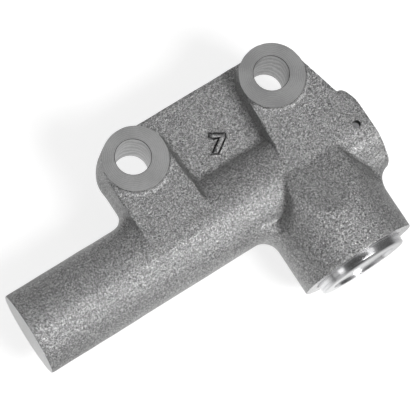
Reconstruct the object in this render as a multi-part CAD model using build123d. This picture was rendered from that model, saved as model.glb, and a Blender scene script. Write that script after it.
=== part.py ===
from build123d import *
from math import radians, sqrt, tan
import os

# Hydraulic timing belt tensioner, in millimetres.
# +X runs along the long barrel towards the rod, +Y from the barrel towards the two mounting
# bosses, and +Z along the mounting holes, out of the seating face towards the bolt heads.
# The origin is on the axis of the first mounting hole, in the seating face.

# Mounting bosses
mount_hole_d = 8.8
mount_spacing = 40.0
mount_boss_d = 16.4
mount_boss_length = 15.4
boss_proud_front = 1.0
boss_proud_back = 1.0
mount_hole_chamfer = 0.4

# Long barrel, its closed end and the boss that the rod leaves
barrel_d = 21.6
barrel_offset = 21.6
barrel_reach = 42.9
barrel_end_round = 0.6
rod_boss_d = 22.4
rod_boss_reach = 54.4
rod_boss_length = 12.0
rod_boss_round = 0.5

# Reservoir housing, square to the barrel
housing_d = 30.4
housing_x = 34.9
housing_reach = 27.2
housing_end_round = 0.5
ramp_start = 1.4
ramp_slope = 16.5
ramp_root = 3.0
root_fillet = 3.0

# Raised slabs and the recessed plate between them
plate_thickness = 7.6
slab_drop = 0.1
slab_left_side = 8.2
slab_spread = 1.4
plate_corner_fillet = 4.0
slab_edge_round = 0.8
plate_edge_round = 0.6
pad_depth = 0.3

# Outline of the slab and the pad beside the rod's mouth: (inset from the mouth, distance from the
# barrel's axis)
slab_right_corner = (2.8, 9.4)
pad_corner = (0.4, 6.4)
pad_shoulder = (2.0, 9.0)
pad_edge = ((5.4, 14.3), (6.7, 5.0), (10.1, -1.6))
pad_foot = (7.8, -4.4)

# Stopper pin hole through the pad
stopper_hole_d = 2.1
stopper_inset = 3.6

# Bores inside the barrel
pressure_bore_d = 14.0
closed_end_wall = 4.0
seal_bore_d = 17.0
seal_bore_depth = 16.4
mouth_chamfer = 0.5

# Bores inside the reservoir housing
plunger_bore_d = 20.0
plunger_bore_depth = 16.7
cap_bore_d = 23.5
cap_bore_depth = 5.2
feed_hole_d = 4.0

# Clearances
fit_gap = 0.02
running_gap = 0.05
ring_gap = 0.03
seat_gap = 0.05
rest_gap = 0.1

# Adjuster rod
rod_d = 10.0
rod_travel = 16.0
rod_stop_margin = 0.4
rod_proud = 1.0
rod_tip_chamfer = 0.8
collar_d = 12.6
collar_length = 3.0
spigot_d = 8.0
spigot_length = 6.0
oil_way_d = 3.0
cross_way_d = 2.4
stopper_cross_d = 2.2

# Guide, seal and retaining ring at the rod mouth
bush_length = 5.0
bush_chamfer = 0.4
washer_thickness = 1.0
washer_rod_gap = 0.4
seal_length = 4.0
seal_case_wall = 0.6
seal_case_hole_gap = 1.2
lip_thickness = 1.1
lip_land = 0.8
lip_relief = 0.3
lip_tip_gap = 0.3
garter_lift = 0.2
garter_d = 1.0
snap_ring_thickness = 1.0
snap_ring_height = 1.7
snap_groove_depth = 0.6
snap_ring_gap = 4.0
snap_ear_d = 2.6
snap_ear_hole_d = 1.0

# Piston and check valve
piston_length = 12.0
piston_chamfer = 0.5
valve_web = 1.6
seat_hole_d = 3.0
seat_mouth_d = 4.4
ball_d = 5.0
ball_lift = 0.6
ball_room_d = 6.8
wear_ring_width = 3.0
wear_ring_thickness = 0.9
wear_ring_split = 0.6
cage_flange_d = 12.8
cage_wall = 0.8
cage_window_d = 1.8
cage_windows = 4
check_spring_d = 3.0
check_spring_wire = 0.4
check_spring_coils = 3
check_spring_spare = 1.5

# Facets round a spring's wire
wire_sides = 8

# Return spring in the pressure chamber
return_spring_d = 12.6
return_spring_wire = 1.8
return_spring_coils = 6
spring_seat_thickness = 1.0
spring_seat_pilot_d = 8.2
spring_seat_pilot_length = 2.0
spring_seat_hole_d = 4.0

# Reservoir plunger
plunger_length = 6.0
plunger_chamfer = 0.4
plunger_front_gap = 0.4
plunger_pocket_d = 14.0
plunger_front_wall = 2.0
cup_seal_width = 2.2
cup_seal_depth = 1.9
cup_seal_inset = 0.9
cup_lip_share = 0.25
cup_mouth_depth = 1.2
plunger_wear_width = 1.4
plunger_wear_depth = 0.9
plunger_wear_inset = 0.8
plunger_spring_d = 13.2
plunger_spring_wire = 1.6
plunger_spring_coils = 3

# Reservoir cap
cap_proud = 2.4
cap_recess_d = 17.0
cap_recess_depth = 1.0
cap_edge = 0.4
cap_pocket_depth = 4.0
o_ring_d = 1.3
o_ring_groove_width = 1.9
o_ring_inset = 2.2

# Levels above the seating face, and the barrel's axis
slab_top = mount_boss_length - boss_proud_front
pad_level = slab_top - pad_depth
plate_back = boss_proud_back
plate_top = plate_back + plate_thickness
axis_y = -barrel_offset
axis_z = slab_top + slab_drop - barrel_d / 2

# Places along the barrel, as row X
closed_face_x = -barrel_reach
chamber_start = closed_face_x + closed_end_wall
mouth_x = rod_boss_reach
seal_bore_x = mouth_x - seal_bore_depth
bush_end = seal_bore_x + bush_length
washer_end = bush_end + washer_thickness
seal_end = washer_end + seal_length
snap_ring_end = seal_end + snap_ring_thickness
stopper_x = mouth_x - stopper_inset
collar_front = seal_bore_x - rod_travel - rod_stop_margin
collar_back = collar_front - collar_length
piston_back = collar_back - piston_length
spigot_end = collar_back - spigot_length
valve_face = spigot_end - valve_web
rod_tip = mouth_x + rod_proud
seat_end = chamber_start + spring_seat_thickness
cage_seat = piston_back - cage_wall
ball_x = valve_face + seat_mouth_d / 2 - (ball_d / 2 + seat_gap) * sqrt(2)
check_spring_reach = check_spring_d / 2 - check_spring_wire
check_spring_end = ball_x - sqrt((ball_d / 2) ** 2 - check_spring_reach ** 2) - fit_gap
check_spring_solid = (check_spring_coils + 1) * check_spring_wire
cage_floor = check_spring_end - ball_lift - check_spring_solid - check_spring_spare
piston_middle = (valve_face + collar_back) / 2
piston_groove = (piston_middle - wear_ring_width / 2, piston_middle + wear_ring_width / 2)
lip_tip = washer_end + lip_tip_gap
garter_r = rod_d / 2 + running_gap + lip_thickness + garter_lift

# Places along the reservoir, measured from the barrel's axis towards the cap
cap_inner = housing_reach - cap_bore_depth
cap_outer = housing_reach + cap_proud
plunger_bore_floor = housing_reach - plunger_bore_depth
plunger_ratio = (rod_d / plunger_bore_d) ** 2
plunger_travel = rod_travel * plunger_ratio
plunger_front = plunger_bore_floor + plunger_front_gap + plunger_travel
plunger_back = plunger_front + plunger_length
cup_seal_groove = (plunger_front + cup_seal_inset, plunger_front + cup_seal_inset + cup_seal_width)
plunger_wear_groove = (
    plunger_back - plunger_wear_inset - plunger_wear_width, plunger_back - plunger_wear_inset)
o_ring_groove = (cap_inner + o_ring_inset, cap_inner + o_ring_inset + o_ring_groove_width)


def turned(*outline):
    """Solid of revolution about X; each point is (distance along X, radius)."""
    return revolve(make_face(Polyline(*outline, close=True)), axis=Axis.X)


def ring(start, end, outer_d, inner_d=0.0):
    """Plain ring or disc about X between two stations."""
    outer, inner = outer_d / 2, inner_d / 2
    return turned((start, inner), (start, outer), (end, outer), (end, inner))


def on_barrel(shape):
    """Moves a solid turned about X onto the barrel's axis."""
    return Pos(0, axis_y, axis_z) * shape


def on_reservoir(shape):
    """Moves a solid turned about X onto the reservoir's axis, which points to -Y."""
    return Pos(housing_x, axis_y, axis_z) * Rot(0, 0, -90) * shape


def cross_hole(x, d, reach):
    """Cylinder along Z through the axis at station x."""
    return Pos(x, 0, 0) * Cylinder(d / 2, 2 * reach)


def prism(outline, low, high):
    """Plate between two levels over an outline given from the barrel's axis line."""
    face = make_face(Polyline(*[(x, y + axis_y) for x, y in outline], close=True))
    return Pos(0, 0, low) * extrude(face, high - low)


def spring(start, end, outer_d, wire, coils):
    """Coil spring about X with both ends ground flat against their seats."""
    mean_r = (outer_d - wire) / 2
    pitch = (end - start - wire) / coils
    run = (coils + 1) * pitch
    first = (start + end - run) / 2
    coil = Helix(pitch, run, mean_r, center=(first, 0, 0), direction=(1, 0, 0))
    section = Plane(origin=coil @ 0, z_dir=coil % 0) * RegularPolygon(wire / 2, wire_sides)
    wound = sweep(section, path=coil, is_frenet=True)
    return wound & ring(start, end, outer_d + wire, 2 * mean_r - 2 * wire)


def ramp_zone():
    """Space under the housing's top ramp and over its bottom one, from inside the barrel outwards."""
    clear = housing_d / 2 + root_fillet
    slope = tan(radians(ramp_slope))
    level = barrel_d / 2
    low = level - slope * (ramp_root + ramp_start)
    full_at = ramp_start + (clear - level) / slope
    side = make_face(Polyline(
        (-ramp_root, -low), (-ramp_root, low), (full_at, clear), (housing_reach, clear),
        (housing_reach, -clear), (full_at, -clear), close=True))
    to_mouth = mouth_x - rod_boss_round - housing_x
    return on_reservoir(Rot(90, 0, 0) * Pos(0, 0, -to_mouth) * extrude(side, to_mouth + 2 * clear))


def rounded_end(tube, end, radius):
    """Tube about X with the rim at one end rounded: 0 for the low end, -1 for the high one."""
    return fillet(tube.edges().filter_by(GeomType.CIRCLE).sort_by(Axis.X)[end], radius)


def cast_tubes():
    """Barrel and reservoir housing, with a fillet all round where they meet."""
    barrel = ring(closed_face_x, mouth_x - rod_boss_round, barrel_d)
    barrel = on_barrel(rounded_end(barrel, 0, barrel_end_round))
    long_barrel = on_barrel(ring(closed_face_x, mouth_x + housing_d, barrel_d))
    through = ring(-housing_d, housing_reach, housing_d)
    through = on_reservoir(rounded_end(through, -1, housing_end_round))
    crossed = long_barrel + through
    roots = crossed.edges().filter_by(GeomType.BSPLINE)
    return (fillet(roots, root_fillet) & ramp_zone()) + barrel


def rod_boss():
    """Boss at the rod's mouth, no higher than the slab beside it."""
    boss = ring(mouth_x - rod_boss_length, mouth_x, rod_boss_d)
    above = Box(4 * rod_boss_length, rod_boss_d, rod_boss_d)
    above = Pos(mouth_x, axis_y, slab_top + rod_boss_d / 2) * above
    return on_barrel(rounded_end(boss, -1, rod_boss_round)) - above


def rounded_sides(slab):
    """Slab with the edges along its sides rounded, from the barrel to the boss that it carries."""
    crest = sqrt((barrel_d / 2) ** 2 - (barrel_d / 2 - slab_drop) ** 2)
    for level in (slab_top, plate_back):
        edges = slab.edges().filter_by_position(Axis.Z, level - seat_gap, level + seat_gap)
        edges = edges.filter_by_position(Axis.Y, axis_y + crest + seat_gap, -seat_gap)
        slab = fillet(edges, slab_edge_round)
    return slab


def left_slab():
    """Raised slab that carries the first boss, with a large fillet down to the barrel."""
    barrel = on_barrel(ring(closed_face_x, mouth_x - rod_boss_length, barrel_d))
    near, side = mount_boss_d / 2, -slab_left_side
    foot = near + slab_spread
    sides = ((foot, 0), (near, barrel_offset), (side, barrel_offset))
    band = prism(((side, -barrel_d), (foot, -barrel_d)) + sides, -barrel_d, 2 * barrel_d)
    crossed = (barrel + band).edges().filter_by(GeomType.CIRCLE)
    corners = crossed.filter_by_position(Axis.X, side - seat_gap, side + seat_gap)
    clear = side - 2 * plate_corner_fillet
    zone = prism(((clear, 0),) + sides[:2] + ((clear, barrel_offset),), plate_back, slab_top)
    return rounded_sides(fillet(corners, plate_corner_fillet) & zone)


def from_mouth(point):
    """Point given by its inset from the rod's mouth, as (X, distance from the barrel's axis)."""
    return mouth_x - point[0], point[1]


def right_slab():
    """Raised slab that carries the second boss and runs over to the pad beside the rod's mouth."""
    far = mount_spacing - mount_boss_d / 2
    corners = [from_mouth(p) for p in (pad_corner, pad_shoulder, slab_right_corner)]
    outline = (
        (far, barrel_offset), (far - slab_spread, 0), (corners[0][0], 0), *corners,
        (mount_spacing + mount_boss_d / 2, barrel_offset))
    return rounded_sides(prism(outline, plate_back, slab_top))


def over_pad():
    """Space over the flat pad, from its curved edge out past the rod's mouth."""
    points = [from_mouth(p) for p in (*pad_edge, pad_foot)]
    *bend, foot = [(x, y + axis_y) for x, y in points]
    beyond = mouth_x + rod_proud
    edge = ThreePointArc(*bend)
    sides = Polyline(bend[-1], foot, (beyond, foot[1]), (beyond, bend[0][1]), bend[0])
    return Pos(0, 0, pad_level) * extrude(make_face(edge + sides), slab_top)


def plate():
    """Recessed plate between the two bosses, level with them along its outer edge."""
    outer = barrel_offset + mount_boss_d / 2
    outline = ((0, 0), (mount_spacing, 0), (mount_spacing, outer), (0, outer))
    flat = prism(outline, plate_back, plate_top)
    return fillet(flat.edges().filter_by(Axis.X).sort_by(Axis.Y)[-2:], plate_edge_round)


def mount_boss(x):
    """Boss with machined faces, proud of the casting at the front and at the seating face."""
    return Pos(x, 0, mount_boss_length / 2) * Cylinder(mount_boss_d / 2, mount_boss_length)


def mount_hole(x):
    """Bolt hole, chamfered at the bolt head's end."""
    radius = mount_hole_d / 2
    rim, bend = radius + mount_hole_chamfer, mount_boss_length - mount_hole_chamfer
    outline = Polyline(
        (0, 0), (radius, 0), (radius, bend), (rim, mount_boss_length), (0, mount_boss_length), close=True)
    return Pos(x, 0, 0) * Rot(90, 0, 0) * revolve(make_face(outline), axis=Axis.Y)


def barrel_bores():
    """Pressure bore from its closed end, then the seal bore with its ring groove and mouth."""
    bore, seal = pressure_bore_d / 2, seal_bore_d / 2
    groove = seal + snap_groove_depth
    groove_end = seal_end + snap_ring_thickness + seat_gap
    return on_barrel(turned(
        (chamber_start, 0), (chamber_start, bore), (seal_bore_x, bore), (seal_bore_x, seal),
        (seal_end, seal), (seal_end, groove), (groove_end, groove), (groove_end, seal),
        (mouth_x - mouth_chamfer, seal), (mouth_x, seal + mouth_chamfer), (mouth_x, 0)))


def reservoir_bores():
    """Plunger bore with the cap's counterbore, and the hole that feeds the barrel."""
    feed, bore, cap = feed_hole_d / 2, plunger_bore_d / 2, cap_bore_d / 2
    return on_reservoir(turned(
        (0, 0), (0, feed), (plunger_bore_floor, feed), (plunger_bore_floor, bore), (cap_inner, bore),
        (cap_inner, cap), (housing_reach - cap_edge, cap), (housing_reach, cap + cap_edge),
        (housing_reach, 0)))


def cylinder_body():
    """Casting with every bore in it."""
    cast = cast_tubes() + rod_boss() + left_slab() + right_slab() + plate()
    cast = cast + mount_boss(0) + mount_boss(mount_spacing)
    cast = cast - over_pad()
    stopper = Pos(stopper_x, axis_y, axis_z + rod_boss_d / 2) * Cylinder(stopper_hole_d / 2, rod_boss_d)
    cast = cast - barrel_bores() - reservoir_bores() - stopper
    return cast - mount_hole(0) - mount_hole(mount_spacing)


def adjuster_rod():
    """Rod with its stop collar, the spigot for the piston, the oil ways and the stopper hole."""
    rod, collar, spigot = rod_d / 2, collar_d / 2, spigot_d / 2
    body = turned(
        (spigot_end, 0), (spigot_end, spigot), (collar_back, spigot), (collar_back, collar),
        (collar_front, collar), (collar_front, rod), (rod_tip - rod_tip_chamfer, rod),
        (rod_tip, rod - rod_tip_chamfer), (rod_tip, 0))
    cross_x = (collar_front + collar_back) / 2
    oil_way = ring(spigot_end, cross_x, oil_way_d)
    return on_barrel(
        body - oil_way - cross_hole(cross_x, cross_way_d, collar)
        - cross_hole(stopper_x, stopper_cross_d, rod))


def rod_piston():
    """Piston on the rod's spigot, with the check valve's seat and room for its ball."""
    outer = pressure_bore_d / 2 - running_gap
    socket, seat, mouth, room = spigot_d / 2 + fit_gap, seat_hole_d / 2, seat_mouth_d / 2, ball_room_d / 2
    groove_back, groove_front = piston_groove
    bottom = outer - wear_ring_thickness
    return on_barrel(turned(
        (collar_back, socket), (spigot_end, socket), (spigot_end, seat), (valve_face + mouth - seat, seat),
        (valve_face, mouth), (valve_face, room), (piston_back, room),
        (piston_back, outer - piston_chamfer), (piston_back + piston_chamfer, outer),
        (groove_back, outer), (groove_back, bottom), (groove_front, bottom), (groove_front, outer),
        (collar_back - piston_chamfer, outer), (collar_back, outer - piston_chamfer)))


def split_ring(start, end, outer_d, inner_d, split):
    """Ring about X, cut through on one side so that it springs into its groove."""
    slit = Pos((start + end) / 2, 0, outer_d / 2) * Box(2 * (end - start), split, outer_d)
    return ring(start, end, outer_d, inner_d) - slit


def piston_wear_ring():
    """Split plastic ring in the piston's groove."""
    groove_back, groove_front = piston_groove
    outer = pressure_bore_d - 2 * ring_gap
    inner = pressure_bore_d - 2 * running_gap - 2 * wear_ring_thickness + 2 * fit_gap
    start, stop = groove_back + fit_gap, groove_front - fit_gap
    return on_barrel(split_ring(start, stop, outer, inner, wear_ring_split))


def check_ball():
    """Ball a hair off its seat, on the pressure side of the piston."""
    return on_barrel(Pos(ball_x, 0, 0) * Sphere(ball_d / 2))


def ball_cage():
    """Pressed cup behind the piston that keeps the ball and its spring, with windows for oil."""
    inner, outer, flange = ball_room_d / 2, ball_room_d / 2 + cage_wall, cage_flange_d / 2
    cup = turned(
        (piston_back, inner), (cage_floor, inner), (cage_floor, 0), (cage_floor - cage_wall, 0),
        (cage_floor - cage_wall, outer), (cage_seat, outer), (cage_seat, flange), (piston_back, flange))
    window = Cylinder(cage_window_d / 2, 2 * cage_wall + outer)
    window = Pos((cage_floor + cage_seat) / 2, 0, outer) * window
    for k in range(cage_windows):
        cup = cup - Rot(360 * k / cage_windows, 0, 0) * window
    return on_barrel(cup)


def check_spring():
    """Light spring between the cage and the ball."""
    return on_barrel(spring(
        cage_floor, check_spring_end, check_spring_d, check_spring_wire, check_spring_coils))


def return_spring():
    """Spring in the pressure chamber that pushes the piston and the rod out."""
    return on_barrel(spring(seat_end, cage_seat, return_spring_d, return_spring_wire, return_spring_coils))


def spring_seat():
    """Seat at the closed end of the chamber, with a pilot inside the return spring."""
    outer, pilot, hole = pressure_bore_d / 2 - rest_gap, spring_seat_pilot_d / 2, spring_seat_hole_d / 2
    pilot_end = seat_end + spring_seat_pilot_length
    return on_barrel(turned(
        (chamber_start, hole), (chamber_start, outer), (seat_end, outer), (seat_end, pilot),
        (pilot_end, pilot), (pilot_end, hole)))


def rod_guide_bush():
    """Bearing bush for the rod, pressed against the shoulder of the seal bore."""
    outer, inner = seal_bore_d / 2 - fit_gap, rod_d / 2 + running_gap
    mouth = inner + bush_chamfer
    return on_barrel(turned(
        (seal_bore_x, mouth), (seal_bore_x, outer), (bush_end, outer), (bush_end, mouth),
        (bush_end - bush_chamfer, inner), (seal_bore_x + bush_chamfer, inner)))


def seal_backing_washer():
    """Flat washer between the bush and the oil seal."""
    return on_barrel(ring(bush_end, washer_end, seal_bore_d - 2 * fit_gap, rod_d + 2 * washer_rod_gap))


def rod_seal_case():
    """Steel case of the oil seal: a pressed cup with a hole for the rod."""
    outer, hole = seal_bore_d / 2 - fit_gap, rod_d / 2 + seal_case_hole_gap
    flange = seal_end - seal_case_wall
    return on_barrel(turned(
        (washer_end, outer), (seal_end, outer), (seal_end, hole), (flange, hole),
        (flange, outer - seal_case_wall), (washer_end, outer - seal_case_wall)))


def garter_ring(section_d):
    """Ring on the back of the seal's lip, with the facets of a spring's wire round its section."""
    section = Pos(lip_tip + lip_land, garter_r) * RegularPolygon(section_d / 2, wire_sides)
    return revolve(section, axis=Axis.X)


def rod_seal_lip():
    """Rubber lip moulded into the case, with a seat for the garter spring."""
    lip, relief = rod_d / 2 + running_gap, rod_d / 2 + running_gap + lip_relief
    back, web = lip + lip_thickness, seal_bore_d / 2 - fit_gap - seal_case_wall
    flange = seal_end - seal_case_wall
    body = turned(
        (lip_tip, lip), (lip_tip + lip_land, lip), (lip_tip + lip_land + lip_relief, relief),
        (flange, relief), (flange, web), (flange - lip_thickness, web), (flange - lip_thickness, back),
        (lip_tip, back))
    return on_barrel(body - garter_ring(garter_d + 2 * fit_gap))


def seal_garter_spring():
    """Garter spring that closes the lip onto the rod."""
    return on_barrel(garter_ring(garter_d))


def rod_snap_ring():
    """Internal retaining ring in its groove, with an eye at each end for the pliers."""
    outer = seal_bore_d / 2 + snap_groove_depth - rest_gap
    inner = outer - snap_ring_height
    clip = ring(seal_end, snap_ring_end, 2 * outer, 2 * inner)
    middle = (seal_end + snap_ring_end) / 2
    clip = clip - Pos(middle, 0, -outer) * Box(2 * snap_ring_thickness, snap_ring_gap, outer)
    eye_z = -sqrt(inner ** 2 - (snap_ring_gap / 2 + snap_ear_d / 2) ** 2)
    for side in (-1, 1):
        eye_y = side * (snap_ring_gap + snap_ear_d) / 2
        place = Pos(middle, eye_y, eye_z) * Rot(0, 90, 0)
        clip = clip + place * Cylinder(snap_ear_d / 2, snap_ring_thickness)
        clip = clip - place * Cylinder(snap_ear_hole_d / 2, 2 * snap_ring_thickness)
    return on_barrel(clip)


def reservoir_plunger():
    """Plunger with a pocket for its spring and grooves for the seal and the wear ring."""
    outer, pocket = plunger_bore_d / 2 - running_gap, plunger_pocket_d / 2
    floor = plunger_front + plunger_front_wall
    seal_start, seal_stop = cup_seal_groove
    wear_start, wear_stop = plunger_wear_groove
    seal_bottom, wear_bottom = outer - cup_seal_depth, outer - plunger_wear_depth
    return on_reservoir(turned(
        (plunger_front, 0), (plunger_front, outer - plunger_chamfer),
        (plunger_front + plunger_chamfer, outer),
        (seal_start, outer), (seal_start, seal_bottom), (seal_stop, seal_bottom), (seal_stop, outer),
        (wear_start, outer), (wear_start, wear_bottom), (wear_stop, wear_bottom), (wear_stop, outer),
        (plunger_back, outer), (plunger_back, pocket), (floor, pocket), (floor, 0)))


def plunger_seal():
    """Rubber cup seal, open towards the oil."""
    outer = plunger_bore_d / 2 - ring_gap
    inner = plunger_bore_d / 2 - running_gap - cup_seal_depth + fit_gap
    start, stop = cup_seal_groove[0] + fit_gap, cup_seal_groove[1] - fit_gap
    middle, lip = (outer + inner) / 2, (outer - inner) * cup_lip_share
    return on_reservoir(turned(
        (start, inner), (start, inner + lip), (start + cup_mouth_depth, middle), (start, outer - lip),
        (start, outer), (stop, outer), (stop, inner)))


def plunger_wear_ring():
    """Split plastic ring that guides the plunger."""
    start, stop = plunger_wear_groove
    outer = plunger_bore_d - 2 * ring_gap
    inner = plunger_bore_d - 2 * running_gap - 2 * plunger_wear_depth + 2 * fit_gap
    return on_reservoir(split_ring(start + fit_gap, stop - fit_gap, outer, inner, wear_ring_split))


def plunger_spring():
    """Spring between the cap and the plunger, which keeps the oil under pressure."""
    start = plunger_front + plunger_front_wall
    return on_reservoir(spring(
        start, cap_inner + cap_pocket_depth, plunger_spring_d, plunger_spring_wire, plunger_spring_coils))


def reservoir_cap():
    """Turned plug that closes the reservoir and stands proud of it, with a shallow recess outside."""
    outer, pocket, recess = cap_bore_d / 2 - fit_gap, plunger_pocket_d / 2, cap_recess_d / 2
    groove_start, groove_stop = o_ring_groove
    bottom = outer - o_ring_d - fit_gap
    floor = cap_inner + cap_pocket_depth
    return on_reservoir(turned(
        (cap_inner, pocket), (cap_inner, outer - cap_edge), (cap_inner + cap_edge, outer),
        (groove_start, outer), (groove_start, bottom), (groove_stop, bottom), (groove_stop, outer),
        (cap_outer - cap_edge, outer), (cap_outer, outer - cap_edge), (cap_outer, recess),
        (cap_outer - cap_recess_depth, recess), (cap_outer - cap_recess_depth, 0), (floor, 0),
        (floor, pocket)))


def cap_o_ring():
    """O-ring squeezed between the cap's groove and the counterbore."""
    middle = (o_ring_groove[0] + o_ring_groove[1]) / 2
    mean_r = cap_bore_d / 2 - fit_gap - o_ring_d / 2
    return on_reservoir(Pos(middle, 0, 0) * Rot(0, 90, 0) * Torus(mean_r, o_ring_d / 2))


makers = (
    cylinder_body, adjuster_rod, rod_piston, piston_wear_ring, check_ball, ball_cage, check_spring,
    return_spring, spring_seat, rod_guide_bush, seal_backing_washer, rod_seal_case, rod_seal_lip,
    seal_garter_spring, rod_snap_ring, reservoir_plunger, plunger_seal, plunger_wear_ring,
    plunger_spring, reservoir_cap, cap_o_ring)

os.makedirs("parts", exist_ok=True)
for maker in makers:
    export_step(maker(), f"parts/{maker.__name__}.step")
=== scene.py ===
import math

import bmesh
import bpy
from mathutils import Matrix, Vector, noise


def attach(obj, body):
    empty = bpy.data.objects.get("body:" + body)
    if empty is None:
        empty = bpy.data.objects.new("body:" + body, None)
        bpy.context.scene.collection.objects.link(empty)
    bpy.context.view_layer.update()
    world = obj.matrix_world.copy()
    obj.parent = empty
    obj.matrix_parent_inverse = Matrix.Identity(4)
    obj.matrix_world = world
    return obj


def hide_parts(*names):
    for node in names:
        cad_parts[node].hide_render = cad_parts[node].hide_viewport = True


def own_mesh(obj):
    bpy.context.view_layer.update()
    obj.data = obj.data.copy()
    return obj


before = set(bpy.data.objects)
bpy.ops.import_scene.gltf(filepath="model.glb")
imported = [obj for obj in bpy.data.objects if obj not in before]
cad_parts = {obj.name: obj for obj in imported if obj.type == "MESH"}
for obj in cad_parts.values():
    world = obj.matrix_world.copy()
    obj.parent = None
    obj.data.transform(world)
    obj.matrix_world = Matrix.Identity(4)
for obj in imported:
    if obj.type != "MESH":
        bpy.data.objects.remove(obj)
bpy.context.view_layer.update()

# Hydraulic timing belt tensioner. Shapes are made in millimetres and scaled to metres at the end.
MM = 0.001

# Sizes shared with the CAD part
AXIS_Y, AXIS_Z = -21.6, 3.7
BARREL_R, CLOSED_X, MOUTH_X = 10.8, -42.9, 54.4
ROD_BOSS_R, ROD_BOSS_LENGTH = 11.2, 12.0
HOUSING_X, HOUSING_R, HOUSING_END = 34.9, 15.2, 27.2
HOLE_X, HOLE_R = (0.0, 40.0), 4.4
BOSS_R, BOSS_BOTTOM, BOSS_TOP = 8.2, 0.0, 15.4
PLATE_BOTTOM, PLATE_TOP = 1.0, 8.6
SLAB_TOP, PAD_LEVEL = 14.4, 14.1
STOPPER_X, STOPPER_R = 50.8, 1.05

# Making of the casting: stock left on machined faces, voxel size and smoothing passes of the skin,
# height and length of its waves
ALLOWANCE = 0.5
VOXEL, SMOOTHING = 0.45, 7
WAVE, WAVE_SIZE = 0.07, 5.0
# Cutters: how far they reach past what they cut, lengthwise and round a boss, the radius of those at the
# barrel's ends, the chamfer of the mounting holes, and the steps of a circle
BEYOND, FACE_SPREAD, END_CUT_R = 3.0, 1.6, 14.0
HOLE_CHAMFER = 0.16
RIM_STEPS = 128


# Shapes

def on_barrel(s, u, v):
    """Point at station s on the barrel's axis, moved off it by u and v."""
    return Vector((s, AXIS_Y + u, AXIS_Z + v))


def on_reservoir(s, u, v):
    """Point at station s on the reservoir's axis, counted from the barrel's axis."""
    return Vector((HOUSING_X + u, AXIS_Y - s, AXIS_Z + v))


def upright(x, y=0.0):
    """Gives points in the same way for an upright axis at (x, y), whose stations are heights."""
    return lambda s, u, v: Vector((x + u, y + v, s))


def add_mesh(verts, faces, name="solid"):
    mesh = bpy.data.meshes.new(name)
    mesh.from_pydata([tuple(v) for v in verts], [], faces)
    bm = bmesh.new()
    bm.from_mesh(mesh)
    bmesh.ops.recalc_face_normals(bm, faces=bm.faces)
    bm.to_mesh(mesh)
    bm.free()
    obj = bpy.data.objects.new(name, mesh)
    bpy.context.scene.collection.objects.link(obj)
    return obj


def lathe(place, outline, steps=RIM_STEPS, name="solid"):
    """Closed turned solid; outline holds (station, radius) and starts and ends on the axis."""
    verts, faces = [place(outline[0][0], 0, 0)], []
    for s, r in outline[1:-1]:
        for k in range(steps):
            a = 2 * math.pi * k / steps
            verts.append(place(s, r * math.cos(a), r * math.sin(a)))
    verts.append(place(outline[-1][0], 0, 0))
    rings, last = len(outline) - 2, len(verts) - 1
    for k in range(steps):
        n = (k + 1) % steps
        faces.append((0, 1 + k, 1 + n))
        faces.append((last, 1 + (rings - 1) * steps + n, 1 + (rings - 1) * steps + k))
        for j in range(rings - 1):
            a, b = 1 + j * steps, 1 + (j + 1) * steps
            faces.append((a + k, b + k, b + n, a + n))
    return add_mesh(verts, faces, name)


def cylinder(place, start, end, r, steps=RIM_STEPS):
    return lathe(place, [(start, 0), (start, r), (end, r), (end, 0)], steps)


def prism(outline, low, high):
    count = len(outline)
    verts = [(x, y, low) for x, y in outline] + [(x, y, high) for x, y in outline]
    faces = [tuple(range(count)), tuple(range(count, 2 * count))]
    faces += [(k, (k + 1) % count, count + (k + 1) % count, count + k) for k in range(count)]
    return add_mesh(verts, faces)


def stack(rings):
    """Closed solid through rings of points, all with the same count."""
    count, verts, faces = len(rings[0]), [p for ring in rings for p in ring], []
    for j in range(len(rings) - 1):
        for k in range(count):
            n = (k + 1) % count
            faces.append((j * count + k, j * count + n, (j + 1) * count + n, (j + 1) * count + k))
    faces += [tuple(range(count)), tuple(range(len(verts) - count, len(verts)))]
    return add_mesh(verts, faces)


def moved_out(outline, out):
    """The outline with every side moved outwards."""
    count, moved = len(outline), []
    doubled_area = sum(outline[k - 1][0] * outline[k][1] - outline[k][0] * outline[k - 1][1]
                       for k in range(count))
    side = 1 if doubled_area > 0 else -1
    for k in range(count):
        a, b, c = (Vector(outline[j % count]) for j in (k - 1, k, k + 1))
        u, v = (b - a).normalized(), (c - b).normalized()
        m, n = Vector((u.y, -u.x)) * side, Vector((v.y, -v.x)) * side
        both = (m + n).normalized()
        moved.append(b + both * (out / max(0.5, both.dot(m))))
    return moved


def leaning(outline, levels):
    """Closed solid over an outline whose walls stand out by a different amount at each height."""
    return stack([[(p.x, p.y, z) for p in moved_out(outline, out)] for z, out in levels])


def take_mesh(obj):
    """Replaces the object's mesh by what its modifiers make of it."""
    depsgraph = bpy.context.evaluated_depsgraph_get()
    mesh = bpy.data.meshes.new_from_object(obj.evaluated_get(depsgraph), depsgraph=depsgraph)
    obj.modifiers.clear()
    obj.data = mesh


def join(objects):
    bm = bmesh.new()
    for o in objects:
        bm.from_mesh(o.data)
    mesh = bpy.data.meshes.new("joined")
    bm.to_mesh(mesh)
    bm.free()
    for o in objects[1:]:
        bpy.data.objects.remove(o)
    objects[0].data = mesh
    return objects[0]


def carve(obj, cutters, material=None):
    """Cuts the cutters out of obj, and gives the cut faces the material."""
    for cutter in cutters:
        if material:
            cutter.data.materials.append(material)
        mod = obj.modifiers.new("cut", "BOOLEAN")
        mod.operation, mod.solver, mod.object = "DIFFERENCE", "MANIFOLD", cutter
        mod.material_mode = "TRANSFER" if material else "INDEX"
        take_mesh(obj)
        bpy.data.objects.remove(cutter)


def to_metres(obj, sharp_degrees):
    """Scales a finished piece, and shades it smooth except over sharp edges."""
    obj.data.transform(Matrix.Scale(MM, 4))
    for polygon in obj.data.polygons:
        polygon.use_smooth = True
    obj.data.set_sharp_from_angle(angle=math.radians(sharp_degrees))


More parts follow.
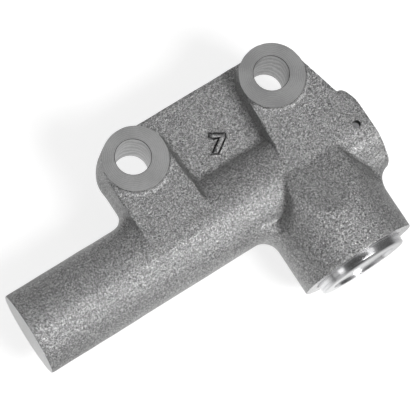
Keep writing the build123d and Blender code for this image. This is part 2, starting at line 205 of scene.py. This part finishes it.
# Materials

class Nodes:
    """Short calls for the nodes of one material or world."""

    def __init__(self, tree, shader):
        self.tree, self.shader = tree, shader

    def add(self, kind, **inputs):
        node = self.tree.nodes.new(kind)
        for key, value in inputs.items():
            node.inputs[key.replace("_", " ")].default_value = value
        return node

    def link(self, a, b):
        self.tree.links.new(a, b)

    def place(self):
        return self.add("ShaderNodeTexCoord").outputs["Object"]

    def noise(self, at, scale, detail=2.0, roughness=0.5, distortion=0.0):
        node = self.add("ShaderNodeTexNoise", Scale=scale, Detail=detail, Roughness=roughness,
                        Distortion=distortion)
        self.link(at, node.inputs["Vector"])
        return node.outputs["Fac"]

    def ramp(self, value, stops):
        """Colour ramp; a stop is (position, grey level or colour)."""
        node = self.tree.nodes.new("ShaderNodeValToRGB")
        elements = node.color_ramp.elements
        while len(elements) < len(stops):
            elements.new(0.5)
        for element, (position, level) in zip(elements, stops):
            element.position = position
            colour = level if isinstance(level, tuple) else (level, level, level)
            element.color = (*colour, 1)
        self.link(value, node.inputs["Fac"])
        return node.outputs["Color"]

    def math(self, operation, a, b=0.0):
        node = self.tree.nodes.new("ShaderNodeMath")
        node.operation = operation
        for k, value in enumerate((a, b)):
            if isinstance(value, (int, float)):
                node.inputs[k].default_value = value
            else:
                self.link(value, node.inputs[k])
        return node.outputs[0]

    def times(self, a, b):
        return self.math("MULTIPLY", a, b)

    def plus(self, a, b):
        return self.math("ADD", a, b)

    def towards(self, operation, at, point):
        """Distance of a place from a point, or dot product of a direction with one."""
        node = self.tree.nodes.new("ShaderNodeVectorMath")
        node.operation = operation
        node.inputs[1].default_value = point
        self.link(at, node.inputs[0])
        return node.outputs["Value"]

    def parts(self, at):
        split = self.add("ShaderNodeSeparateXYZ")
        self.link(at, split.inputs["Vector"])
        return split.outputs

    def bump(self, height, strength, distance, after=None):
        node = self.add("ShaderNodeBump", Strength=strength, Distance=distance)
        self.link(height, node.inputs["Height"])
        if after is not None:
            self.link(after, node.inputs["Normal"])
        return node.outputs["Normal"]


def new_material(name, metallic, roughness, colour=(0.8, 0.8, 0.8)):
    """A material and its nodes."""
    mat = bpy.data.materials.new(name)
    mat.use_nodes = True
    shader = mat.node_tree.nodes["Principled BSDF"]
    shader.inputs["Metallic"].default_value = metallic
    shader.inputs["Roughness"].default_value = roughness
    shader.inputs["Base Color"].default_value = (*colour, 1)
    return mat, Nodes(mat.node_tree, shader)


def cast_skin():
    """Shot-blasted casting skin: grey, grainy, with bright specks, and with painted shade darkening its
    corners and hollows.
    """
    mat, n = new_material("cast_skin", 0.8, 0.45)
    at = n.place()
    grain = n.noise(at, scale=2500, detail=2, roughness=0.55, distortion=1.1)
    fine = n.noise(at, scale=4200, detail=2, roughness=0.5)
    mixed = n.plus(n.times(grain, 0.75), n.times(fine, 0.25))
    # Painted shade: ambient occlusion darkens the skin's colour in corners and hollows, where shade falls
    corners = n.add("ShaderNodeAmbientOcclusion", Distance=0.0025)
    corners.samples = 8
    painted_corner_shade = n.ramp(corners.outputs["AO"], [(0.38, 0.3), (0.68, 1.0)])
    level = n.ramp(mixed, [(0.36, 0.12), (0.5, 0.3), (0.62, 0.6)])
    n.link(n.times(level, painted_corner_shade), n.shader.inputs["Base Color"])
    n.link(n.ramp(fine, [(0.35, 0.32), (0.65, 0.46)]), n.shader.inputs["Roughness"])
    rough = n.bump(grain, strength=1.0, distance=0.00026)
    n.link(n.bump(fine, strength=0.6, distance=0.00006, after=rough), n.shader.inputs["Normal"])
    return mat


# Cut metal: distance between turning rings in metres, how strongly the rings' height and shade, the
# patches and the feed marks show against the grain, and how unevenly the marks run
RING_PITCH, RING_HEIGHT, RING_SHADE = 0.00045, 0.35, 0.22
PATCH_SHADE, MARK_SHADE, MARK_WANDER = 1.6, 0.15, 9.0
# Darkest and lightest tone, as parts of the metal's level
TONES, MARKED_TONES = (0.86, 1.1), (0.66, 1.1)


def machined(name, level, roughness, centre=None, axis="Z", feed=None):
    """Cut metal: brushed, or with faint rings round the axis through centre, or with marks along it.

    feed is the distance between the marks in metres.
    """
    mat, n = new_material(name, 0.85, roughness, (level, level, level))
    at = n.place()
    height = shade = fine = n.noise(at, scale=2600)
    if centre is not None:
        move = n.add("ShaderNodeMapping")
        move.inputs["Location"].default_value = tuple(-c * MM for c in centre)
        n.link(at, move.inputs["Vector"])
        parts = n.parts(move.outputs["Vector"])
        a, b = (n.math("POWER", parts[c], 2.0) for c in "XYZ" if c != axis)
        rings = n.math("SINE", n.times(n.math("SQRT", n.plus(a, b)), 2 * math.pi / RING_PITCH))
        height = n.plus(n.times(rings, RING_HEIGHT), fine)
        patches = n.math("SUBTRACT", n.noise(at, scale=150), 0.5)
        shade = n.plus(fine, n.plus(n.times(rings, RING_SHADE), n.times(patches, PATCH_SHADE)))
    if feed:
        along = n.times(n.parts(at)[axis], 2 * math.pi / feed)
        wander = n.times(n.noise(at, scale=260, detail=1), MARK_WANDER)
        marks = n.math("SINE", n.plus(along, wander))
        shade = n.plus(fine, n.times(marks, MARK_SHADE))
    dark, light = MARKED_TONES if feed else TONES
    n.link(n.ramp(shade, [(0.3, dark * level), (0.7, min(1.0, light * level))]),
           n.shader.inputs["Base Color"])
    n.link(n.ramp(fine, [(0.3, roughness - 0.04), (0.7, roughness + 0.05)]),
           n.shader.inputs["Roughness"])
    n.link(n.bump(height, strength=0.12, distance=0.00002), n.shader.inputs["Normal"])
    return mat


def speckled(name, metallic, roughness, dark, light, scale, bump=0.1):
    """Plain material with small variations in colour, roughness and height."""
    mat, n = new_material(name, metallic, roughness, light)
    specks = n.noise(n.place(), scale, detail=3)
    n.link(n.ramp(specks, [(0.35, dark), (0.65, light)]), n.shader.inputs["Base Color"])
    n.link(n.ramp(specks, [(0.3, roughness - 0.03), (0.7, roughness + 0.05)]),
           n.shader.inputs["Roughness"])
    n.link(n.bump(specks, bump, distance=0.00003), n.shader.inputs["Normal"])
    return mat


# The two boss faces are the same cut metal; their different greys are painted light and shade
BOSS_FACE_LIT_AND_SHADED_LEVELS = (0.44, 0.38)
skin = cast_skin()
boss_faces = [machined(f"boss_face_{k}", level, 0.46, centre=(x, 0, 0))
              for k, (x, level) in enumerate(zip(HOLE_X, BOSS_FACE_LIT_AND_SHADED_LEVELS))]
bored = machined("bored", 0.6, 0.42)
drilled = machined("drilled", 0.5, 0.4, feed=0.0026)
# Painted shade: the chamfers round the mounting holes and the stopper hole's wall are given near-black cut
# metal
painted_rim_shade = machined("painted_rim_shade", 0.15, 0.5)
# The closed end is cut metal; its near-white grey, lighter than the other cut ends, is painted reflection
lit_closed_face = machined("lit_closed_face", 0.98, 0.42)
# Painted shade: a near-black skin for the groove round the numeral
painted_groove_shade = speckled("painted_groove_shade", 0.6, 0.6, (0.02, 0.02, 0.02), (0.06, 0.06, 0.06), 2300)
end_face = machined("end_face", 0.58, 0.24, centre=(HOUSING_X, 0, AXIS_Z), axis="Y")
mouth_face = machined("mouth_face", 0.6, 0.3, centre=(0, AXIS_Y, AXIS_Z), axis="X")

# Casting as cast. Walls lean outwards down to the parting line and back in again below it:
# (height, how far the wall stands out from its top edge)
PARTING_Z = AXIS_Z
DRAFT = ((1.0, 0.5), (2.4, 0.75), (4.6, 0.72), (9.0, 0.36), (SLAB_TOP, 0.0))
STEEP_ROOT = ((7.0, 1.0), (8.6, 0.8), (9.0, 0.5), (9.8, 0.26), (SLAB_TOP, 0.0))
SLOPED_ROOT = (
    (7.0, 2.7), (8.6, 2.35), (8.9, 1.8), (9.6, 1.35), (11.0, 0.85), (13.0, 0.35), (SLAB_TOP, 0.0))

# Outlines of the solids: the barrel's is (station, radius), the others are (X, Y)
BARREL_OUTLINE = (
    (CLOSED_X - 0.4, 0), (CLOSED_X - 0.4, 10.55), (CLOSED_X + 0.15, BARREL_R), (MOUTH_X - 1, BARREL_R),
    (MOUTH_X - 1, 0))
PLATE = ((0, 7.78), (40, 7.78), (43, 0), (43, -18), (0, -18))
LEFT_SLAB = ((-8.2, 0.5), (-8.2, -24.0), (3.0, -24.0), (3.0, 0.5))
LEFT_SLAB_INNER = ((-2.0, 0.5), (-2.0, -21.4), (9.62, -21.4), (8.17, 0.5))
RIGHT_SLAB_INNER = ((31.83, 0.5), (30.8, -15.0), (30.0, -21.4), (43.0, -21.4), (43.0, 0.5))
RIGHT_SLAB = (
    (42.0, 0.5), (42.0, -21.4), (54.0, -21.4), (54.0, -15.2), (52.4, -12.6), (51.6, -12.2), (48.2, 0.5))
ABOVE_SLAB = ((30, 20), (30, -40), (70, -40), (70, 20))
PAD_OUTLINE = (
    (49.0, -7.3), (48.1, -12.0), (47.7, -16.6), (46.6, -20.2), (44.3, -23.2), (44.3, -30.0), (60.0, -30.0),
    (60.0, -7.3))

# Rings of each mounting boss: (height, X and Y of the middle from the hole, radius)
BOSS_RINGS = (
    ((BOSS_BOTTOM - ALLOWANCE, -0.1, -0.7, 8.5), (1.0, -0.15, -0.75, 8.7), (2.6, -0.2, -0.82, 8.94),
     (4.6, -0.2, -0.82, 8.9), (BOSS_TOP + ALLOWANCE, 0.31, -0.6, 8.15)),
    ((BOSS_BOTTOM - ALLOWANCE, 0.0, -0.5, 8.3), (1.0, 0.0, -0.55, 8.5), (2.6, -0.05, -0.6, 8.74),
     (4.6, -0.05, -0.6, 8.7), (BOSS_TOP + ALLOWANCE, -0.09, -0.52, 8.25)),
)

# The housing's ramp down to the barrel, by station on the reservoir's axis, and its slope
HOUSING_START, RAMP_START, RAMP_FULL = -4.0, 1.4, 18.0
RAMP_SLOPE = math.tan(math.radians(16.5))
# The housing's flanks over the barrel: side, then at each height the wall's X at the stations
WALL_STATIONS = (-8.0, 1.0, 7.4, 10.5, 15.0)
HOUSING_WALLS = (
    (-1, (
        (4.0, (18, 18, 18, 18, 18)),
        (7.0, (25, 25, 21.6, 19.4, 18)),
        (9.0, (27, 26.5, 23.3, 20.9, 18.5)),
        (11.6, (28, 27.5, 25.1, 23.2, 20.8)),
        (14.5, (28.4, 28.4, 26.1, 24.7, 23.2)),
        (20.0, (29.7, 29.7, 27.8, 27.0, 25.2)),
    )),
    (1, (
        (4.0, (52, 52, 52, 52, 52)),
        (9.0, (45, 45, 47.2, 49, 50.6)),
        (11.9, (44.6, 44.6, 46.6, 47.8, 49)),
        (14.1, (43.4, 43.4, 45.6, 46.8, 47.2)),
        (20.0, (41.6, 41.6, 43.6, 45, 46)),
    )),
)

# Fillets in the corners of the outline. Their levels are (height over the parting line, how far the wall
# stands out), and a corner is (place, directions of its walls, radius, number of its lowest level).
CORNER_LEVELS = (
    (-6.5, -1.4), (-4.5, -0.6), (-2.3, -0.2), (0, 0), (2.3, -0.2), (4.5, -0.6), (6.5, -1.4))
CORNERS = (
    ((-8.9, AXIS_Y + BARREL_R), (0, 1), (-1, 0), 3.4, 2),
    ((HOUSING_X - HOUSING_R, AXIS_Y - BARREL_R), (0, -1), (-1, 0), 3.8, 0),
    ((HOUSING_X + HOUSING_R, AXIS_Y - ROD_BOSS_R), (0, -1), (1, 0), 5.6, 0),
)

# Raised numeral on the plate, with a groove round it whose near-black faces paint the shade at its outline
NUMERAL = ((-1.75, 2.4), (1.9, 2.4), (1.9, 1.65), (0.15, -2.4), (-0.95, -2.4), (0.75, 1.5), (-1.75, 1.5))
NUMERAL_AT, NUMERAL_TURN, NUMERAL_RAISE = (20.4, -6.7), math.radians(-32), 0.9
GROOVE_WIDTH, GROOVE_DEPTH = 0.45, 0.3

# Bores: (station, radius)
RESERVOIR_BORE = (
    (0, 0), (0, 2), (10.5, 2), (10.5, 10), (22.0, 10), (22.0, 11.75), (26.8, 11.75), (27.2, 12.15),
    (30, 12.15), (30, 0))
BARREL_BORE = (
    (-38.9, 0), (-38.9, 7), (38.0, 7), (38.0, 8.5), (48.0, 8.5), (48.0, 9.1), (49.05, 9.1),
    (49.05, 8.5), (53.9, 8.5), (54.4, 9.0), (57, 9.0), (57, 0))
STOPPER_BOTTOM, STOPPER_STEPS = 5.0, 48


def boss_solid(x, rings):
    """Mounting boss with draft on both sides of the parting line."""
    angles = [2 * math.pi * k / RIM_STEPS for k in range(RIM_STEPS)]
    return stack([[(x + cx + r * math.cos(a), cy + r * math.sin(a), z) for a in angles]
                  for z, cx, cy, r in rings])


def corner_solid(corner, u, v, r, lowest, steps=10):
    """Fills an inner corner of the outline at the parting line with an arc."""
    at, u, v = Vector(corner), Vector(u), Vector(v)
    deep = 3.0
    points = [at - u * deep - v * deep, at + v * r - u * deep]
    points += [at + (u + v) * r - u * r * math.cos(a) - v * r * math.sin(a)
               for a in (math.pi / 2 * k / steps for k in range(steps + 1))]
    points += [at + u * r - v * deep]
    return leaning([tuple(p) for p in points], [(PARTING_Z + z, out) for z, out in CORNER_LEVELS[lowest:]])


def housing_solid():
    """Reservoir housing, sloping down to the barrel at the top and at the bottom."""
    tube = cylinder(on_reservoir, HOUSING_START, HOUSING_END + ALLOWANCE, HOUSING_R)
    low = BARREL_R + RAMP_SLOPE * (HOUSING_START - RAMP_START)
    high = BARREL_R + RAMP_SLOPE * (RAMP_FULL - RAMP_START)
    before, after, outside, across = -6.0, 40.0, 30.0, (0.0, 70.0)
    side = ((before, low), (HOUSING_START, low), (RAMP_FULL, high), (after, high))
    for sign in (1, -1):
        profile = [(s, sign * h) for s, h in side] + [(after, sign * outside), (before, sign * outside)]
        carve(tube, [stack([[(x, AXIS_Y - s, AXIS_Z + h) for s, h in profile] for x in across])])
    first, last = AXIS_Y - WALL_STATIONS[0], AXIS_Y - WALL_STATIONS[-1]
    for sign, levels in HOUSING_WALLS:
        away = HOUSING_X + sign * outside
        carve(tube, [stack([
            [(x, AXIS_Y - s, z) for s, x in zip(WALL_STATIONS, line)] + [(away, last, z), (away, first, z)]
            for z, line in levels])])
    return tube


def rod_end_solids():
    """Rod boss and the slab beside it, both cut flat under the pad."""
    boss = cylinder(on_barrel, MOUTH_X - ROD_BOSS_LENGTH, MOUTH_X + ALLOWANCE, ROD_BOSS_R)
    slab = leaning(RIGHT_SLAB, DRAFT)
    above = 30
    for solid in (boss, slab):
        carve(solid, [prism(ABOVE_SLAB, SLAB_TOP, above), prism(PAD_OUTLINE, PAD_LEVEL, above)])
    return [boss, slab]


turn = Matrix.Rotation(NUMERAL_TURN, 2)
numeral = [tuple(turn @ Vector(p) + Vector(NUMERAL_AT)) for p in NUMERAL]

casting = join([
    lathe(on_barrel, BARREL_OUTLINE),
    *rod_end_solids(),
    housing_solid(),
    prism(PLATE, PLATE_BOTTOM, PLATE_TOP),
    leaning(LEFT_SLAB, DRAFT),
    leaning(LEFT_SLAB_INNER, SLOPED_ROOT),
    leaning(RIGHT_SLAB_INNER, STEEP_ROOT),
    *(boss_solid(x, rings) for x, rings in zip(HOLE_X, BOSS_RINGS)),
    *(corner_solid(*corner) for corner in CORNERS),
    prism(numeral, PLATE_TOP - 1.0, PLATE_TOP + NUMERAL_RAISE),
])
casting.name = "casting"
remesh = casting.modifiers.new("remesh", "REMESH")
remesh.mode, remesh.voxel_size, remesh.adaptivity = "VOXEL", VOXEL, 0.0
smooth = casting.modifiers.new("smooth", "SMOOTH")
smooth.factor, smooth.iterations = 0.5, SMOOTHING
take_mesh(casting)

# The skin is a little wavy, but never past the housing's own height.
INSIDE_BY = 0.001
LOWEST, HIGHEST = AXIS_Z - HOUSING_R + INSIDE_BY, AXIS_Z + HOUSING_R - INSIDE_BY
waved = [v.co + v.normal * (WAVE * noise.noise(v.co / WAVE_SIZE)) for v in casting.data.vertices]
for vert, place in zip(casting.data.vertices, waved):
    vert.co = (place.x, place.y, min(max(place.z, LOWEST), HIGHEST))
casting.data.materials.clear()
casting.data.materials.append(skin)

groove = prism([tuple(p) for p in moved_out(numeral, GROOVE_WIDTH)], PLATE_TOP - GROOVE_DEPTH,
               PLATE_TOP + BEYOND)
carve(groove, [prism(numeral, PLATE_TOP - 2, PLATE_TOP + BEYOND + 2)])
# The groove's faces take the near-black skin as painted shade round the numeral
carve(casting, [groove], painted_groove_shade)

for x, boss_face in zip(HOLE_X, boss_faces):
    carve(casting, [
        cylinder(upright(x), BOSS_TOP, BOSS_TOP + BEYOND, BOSS_R + FACE_SPREAD),
        cylinder(upright(x), BOSS_BOTTOM - BEYOND, BOSS_BOTTOM, BOSS_R + FACE_SPREAD),
    ], boss_face)
    carve(casting, [cylinder(upright(x), BOSS_BOTTOM - BEYOND, BOSS_TOP + BEYOND, HOLE_R)], drilled)
    # The hole's chamfer takes the near-black metal as painted shade
    rim = [(BOSS_TOP - HOLE_CHAMFER, 0), (BOSS_TOP - HOLE_CHAMFER, HOLE_R),
           (BOSS_TOP + 1, HOLE_R + HOLE_CHAMFER + 1), (BOSS_TOP + 1, 0)]
    carve(casting, [lathe(upright(x), rim)], painted_rim_shade)

# The closed end's cut face takes the near-white metal as painted reflection
carve(casting, [cylinder(on_barrel, CLOSED_X - BEYOND, CLOSED_X, END_CUT_R)], lit_closed_face)
carve(casting, [cylinder(on_reservoir, HOUSING_END, HOUSING_END + BEYOND, HOUSING_R + 2)], end_face)
carve(casting, [cylinder(on_barrel, MOUTH_X, MOUTH_X + BEYOND, END_CUT_R)], mouth_face)
carve(casting, [lathe(on_reservoir, RESERVOIR_BORE), lathe(on_barrel, BARREL_BORE)], bored)
# The stopper hole's wall takes the near-black metal as painted shade inside the hole
stopper_hole = cylinder(upright(STOPPER_X, AXIS_Y), STOPPER_BOTTOM, PAD_LEVEL + BEYOND, STOPPER_R,
                        STOPPER_STEPS)
carve(casting, [stopper_hole], painted_rim_shade)

to_metres(casting, sharp_degrees=32)
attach(casting, "cylinder")
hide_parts("cylinder_body")

# Materials of the pieces whose CAD shape stays, and of the plug
chrome = speckled("chrome", 1.0, 0.09, (0.72, 0.72, 0.73), (0.82, 0.82, 0.83), 900, 0.05)
plug_steel = speckled("plug_steel", 1.0, 0.17, (0.68, 0.68, 0.69), (0.74, 0.74, 0.75), 3200, 0.05)
turned = speckled("turned_steel", 0.95, 0.25, (0.42, 0.42, 0.43), (0.55, 0.55, 0.56), 1500)
pressed = speckled("pressed_steel", 0.95, 0.3, (0.36, 0.36, 0.38), (0.5, 0.5, 0.5), 900)
sprung = speckled("spring_steel", 0.9, 0.34, (0.16, 0.16, 0.17), (0.3, 0.3, 0.3), 1200)
bronze = speckled("bush_bronze", 0.95, 0.3, (0.5, 0.33, 0.14), (0.66, 0.45, 0.2), 1400)
rubber = speckled("rubber", 0.0, 0.6, (0.012, 0.012, 0.012), (0.03, 0.03, 0.03), 1600, 0.3)
plastic = speckled("wear_ring_plastic", 0.0, 0.45, (0.16, 0.09, 0.04), (0.24, 0.14, 0.07), 1100)

LOOKS = {
    chrome: ("adjuster_rod", "check_ball"),
    turned: ("rod_piston", "reservoir_plunger"),
    pressed: ("ball_cage", "spring_seat", "seal_backing_washer", "rod_seal_case"),
    sprung: ("check_spring", "return_spring", "plunger_spring", "seal_garter_spring", "rod_snap_ring"),
    bronze: ("rod_guide_bush",),
    rubber: ("rod_seal_lip", "plunger_seal", "cap_o_ring"),
    plastic: ("piston_wear_ring", "plunger_wear_ring"),
}
for material, names in LOOKS.items():
    for name in names:
        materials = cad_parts[name].data.materials
        materials.clear()
        materials.append(material)

# The check ball's spring is copied onto the rod's body in place of the CAD one.
SPRING_FIXED_X, SPRING_LENGTH, BALL_LIFT = 3.6, 3.7, 0.6
at_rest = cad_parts["check_spring"]
lifted = bpy.data.objects.new("lifted_spring", at_rest.data.copy())
lifted.data.transform(at_rest.matrix_world)
bpy.context.scene.collection.objects.link(lifted)
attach(lifted, "rod")
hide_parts("check_spring")
tuple(on_barrel(SPRING_FIXED_X, 0, 0) * MM)
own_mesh(lifted)

# Plug in the reservoir's mouth: (station, radius). It has a groove for its O-ring, broken edges, a fine
# line round its front edge and a dished front.
CAP_OUTLINE = (
    (26.0, 0), (26.0, 7.0), (22.0, 7.0), (22.0, 11.33), (22.4, 11.73), (24.2, 11.73), (24.2, 10.41),
    (26.1, 10.41), (26.1, 11.73), (28.55, 11.73), (28.65, 11.58), (28.8, 11.58), (28.9, 11.7),
    (29.3, 11.66), (29.55, 11.4), (29.6, 11.1), (29.6, 8.6), (29.1, 8.5), (29.1, 0))
cap = lathe(on_reservoir, CAP_OUTLINE, name="cap")
cap.data.materials.append(plug_steel)
to_metres(cap, sharp_degrees=40)
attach(cap, "cylinder")
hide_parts("reservoir_cap")

# Floor. Seen by the camera and in reflections it is darker and glows instead, so that it comes out white
# there and keeps its shadows, without lighting the object more.
FLOOR_Z, FLOOR_HALF = -11.6, 3000
FLOOR_TONE, SEEN_TONE = 0.86, 0.4
CAMERA_LIFT = 0.76
# Its glow and what it loses in tone in reflections, by distance from the object in metres
GLOW_CENTRE = (0.008, -0.02, FLOOR_Z * MM)
GLOSSY_LIFT = ((0.028, 0.78), (0.05, 0.4), (0.08, 0.26), (0.3, 0.1))
GLOSSY_LOSS = ((0.03, 0.0), (0.08, 0.12), (0.25, 0.3))

floor = add_mesh([(x * FLOOR_HALF, y * FLOOR_HALF, FLOOR_Z) for x, y in ((-1, -1), (1, -1), (1, 1), (-1, 1))],
                 [(0, 1, 2, 3)], "floor")
floor.data.transform(Matrix.Scale(MM, 4))
pale, n = new_material("pale_floor", 0.0, 0.9, (FLOOR_TONE,) * 3)
n.shader.inputs["Emission Color"].default_value = (1, 1, 1, 1)
n.shader.inputs["Specular IOR Level"].default_value = 0.0
path = n.tree.nodes.new("ShaderNodeLightPath").outputs
far = n.towards("DISTANCE", n.place(), GLOW_CENTRE)
mirrored = n.math("MAXIMUM", path["Is Glossy Ray"], path["Is Transmission Ray"])
seen = n.math("MAXIMUM", path["Is Camera Ray"], mirrored)
glow = n.plus(n.times(path["Is Camera Ray"], CAMERA_LIFT), n.times(mirrored, n.ramp(far, GLOSSY_LIFT)))
n.link(glow, n.shader.inputs["Emission Strength"])
tone = n.math("SUBTRACT", FLOOR_TONE, n.times(seen, FLOOR_TONE - SEEN_TONE))
tone = n.math("SUBTRACT", tone, n.times(mirrored, n.ramp(far, GLOSSY_LOSS)))
n.link(tone, n.shader.inputs["Base Color"])
floor.data.materials.append(pale)

# Room. Its darker parts: (direction, cosines between which it darkens, brightness left)
ROOM_STRENGTH = 0.5
DARK_PARTS = (((0.985, 0.155, -0.02), 0.1, 0.75, 0.25), ((-0.38, 0.15, 0.91), 0.68, 0.93, 0.16))
world = bpy.data.worlds.new("studio")
bpy.context.scene.world = world
world.use_nodes = True
sky = world.node_tree.nodes["Background"]
sky.inputs["Strength"].default_value = ROOM_STRENGTH
n = Nodes(world.node_tree, sky)
looking = n.add("ShaderNodeTexCoord").outputs["Generated"]
shades = [n.ramp(n.towards("DOT_PRODUCT", looking, direction), [(start, 1.0), (full, left)])
          for direction, start, full, left in DARK_PARTS]
n.link(n.times(*shades), sky.inputs["Color"])

# Soft lamps: (name, direction from the object, distance and width in metres, watts)
LIT_POINT = Vector((8, -20, 5)) * MM
LAMPS = (
    ("key", (0.24, -0.58, 0.78), 0.5, 0.19, 2.2),
    ("strip", (0.4, 0.15, 0.9), 0.8, 0.24, 0.18),
    ("spot", (-0.88, 0.05, 0.47), 0.8, 0.22, 0.17),
    ("fill", (0.2, 0.8, 0.56), 0.8, 0.5, 0.7),
)
for name, direction, distance, width, watts in LAMPS:
    light = bpy.data.lights.new(name, "AREA")
    light.shape, light.size, light.energy = "SQUARE", width, watts
    lamp = bpy.data.objects.new(name, light)
    away = Vector(direction).normalized()
    lamp.location = LIT_POINT + away * distance
    lamp.rotation_mode = "QUATERNION"
    lamp.rotation_quaternion = away.to_track_quat("Z", "Y")
    bpy.context.scene.collection.objects.link(lamp)

# Camera, fitted to the outlines in the photo: leans of the view along X and Y, its roll in the picture,
# and the point that it looks at
CAMERA_LEANS, CAMERA_ROLL = (-0.196, -0.155), math.radians(31.673)
CAMERA_TARGET, CAMERA_DISTANCE = Vector((10.721, -18.249, 3.7)), 492.5
SENSOR_WIDTH, LENS = 36.0, 174.0
back = Vector((math.sin(CAMERA_LEANS[0]), math.sin(CAMERA_LEANS[1]), 0))
back.z = math.sqrt(1 - back.length_squared)
along = (Vector((1, 0, 0)) - back.x * back).normalized()
across = back.cross(along)
right = math.cos(CAMERA_ROLL) * along - math.sin(CAMERA_ROLL) * across
up = math.sin(CAMERA_ROLL) * along + math.cos(CAMERA_ROLL) * across

camera = bpy.data.objects.new("camera", bpy.data.cameras.new("camera"))
camera.data.sensor_width, camera.data.lens = SENSOR_WIDTH, LENS
camera.data.clip_start, camera.data.clip_end = 0.05, 20.0
camera.rotation_mode = "QUATERNION"
camera.location = (CAMERA_TARGET + CAMERA_DISTANCE * back) * MM
camera.rotation_quaternion = Matrix((right, up, back)).transposed().to_quaternion()
bpy.context.scene.collection.objects.link(camera)
bpy.context.scene.camera = camera
bpy.context.scene.view_settings.view_transform = "Standard"

bpy.context.view_layer.update()
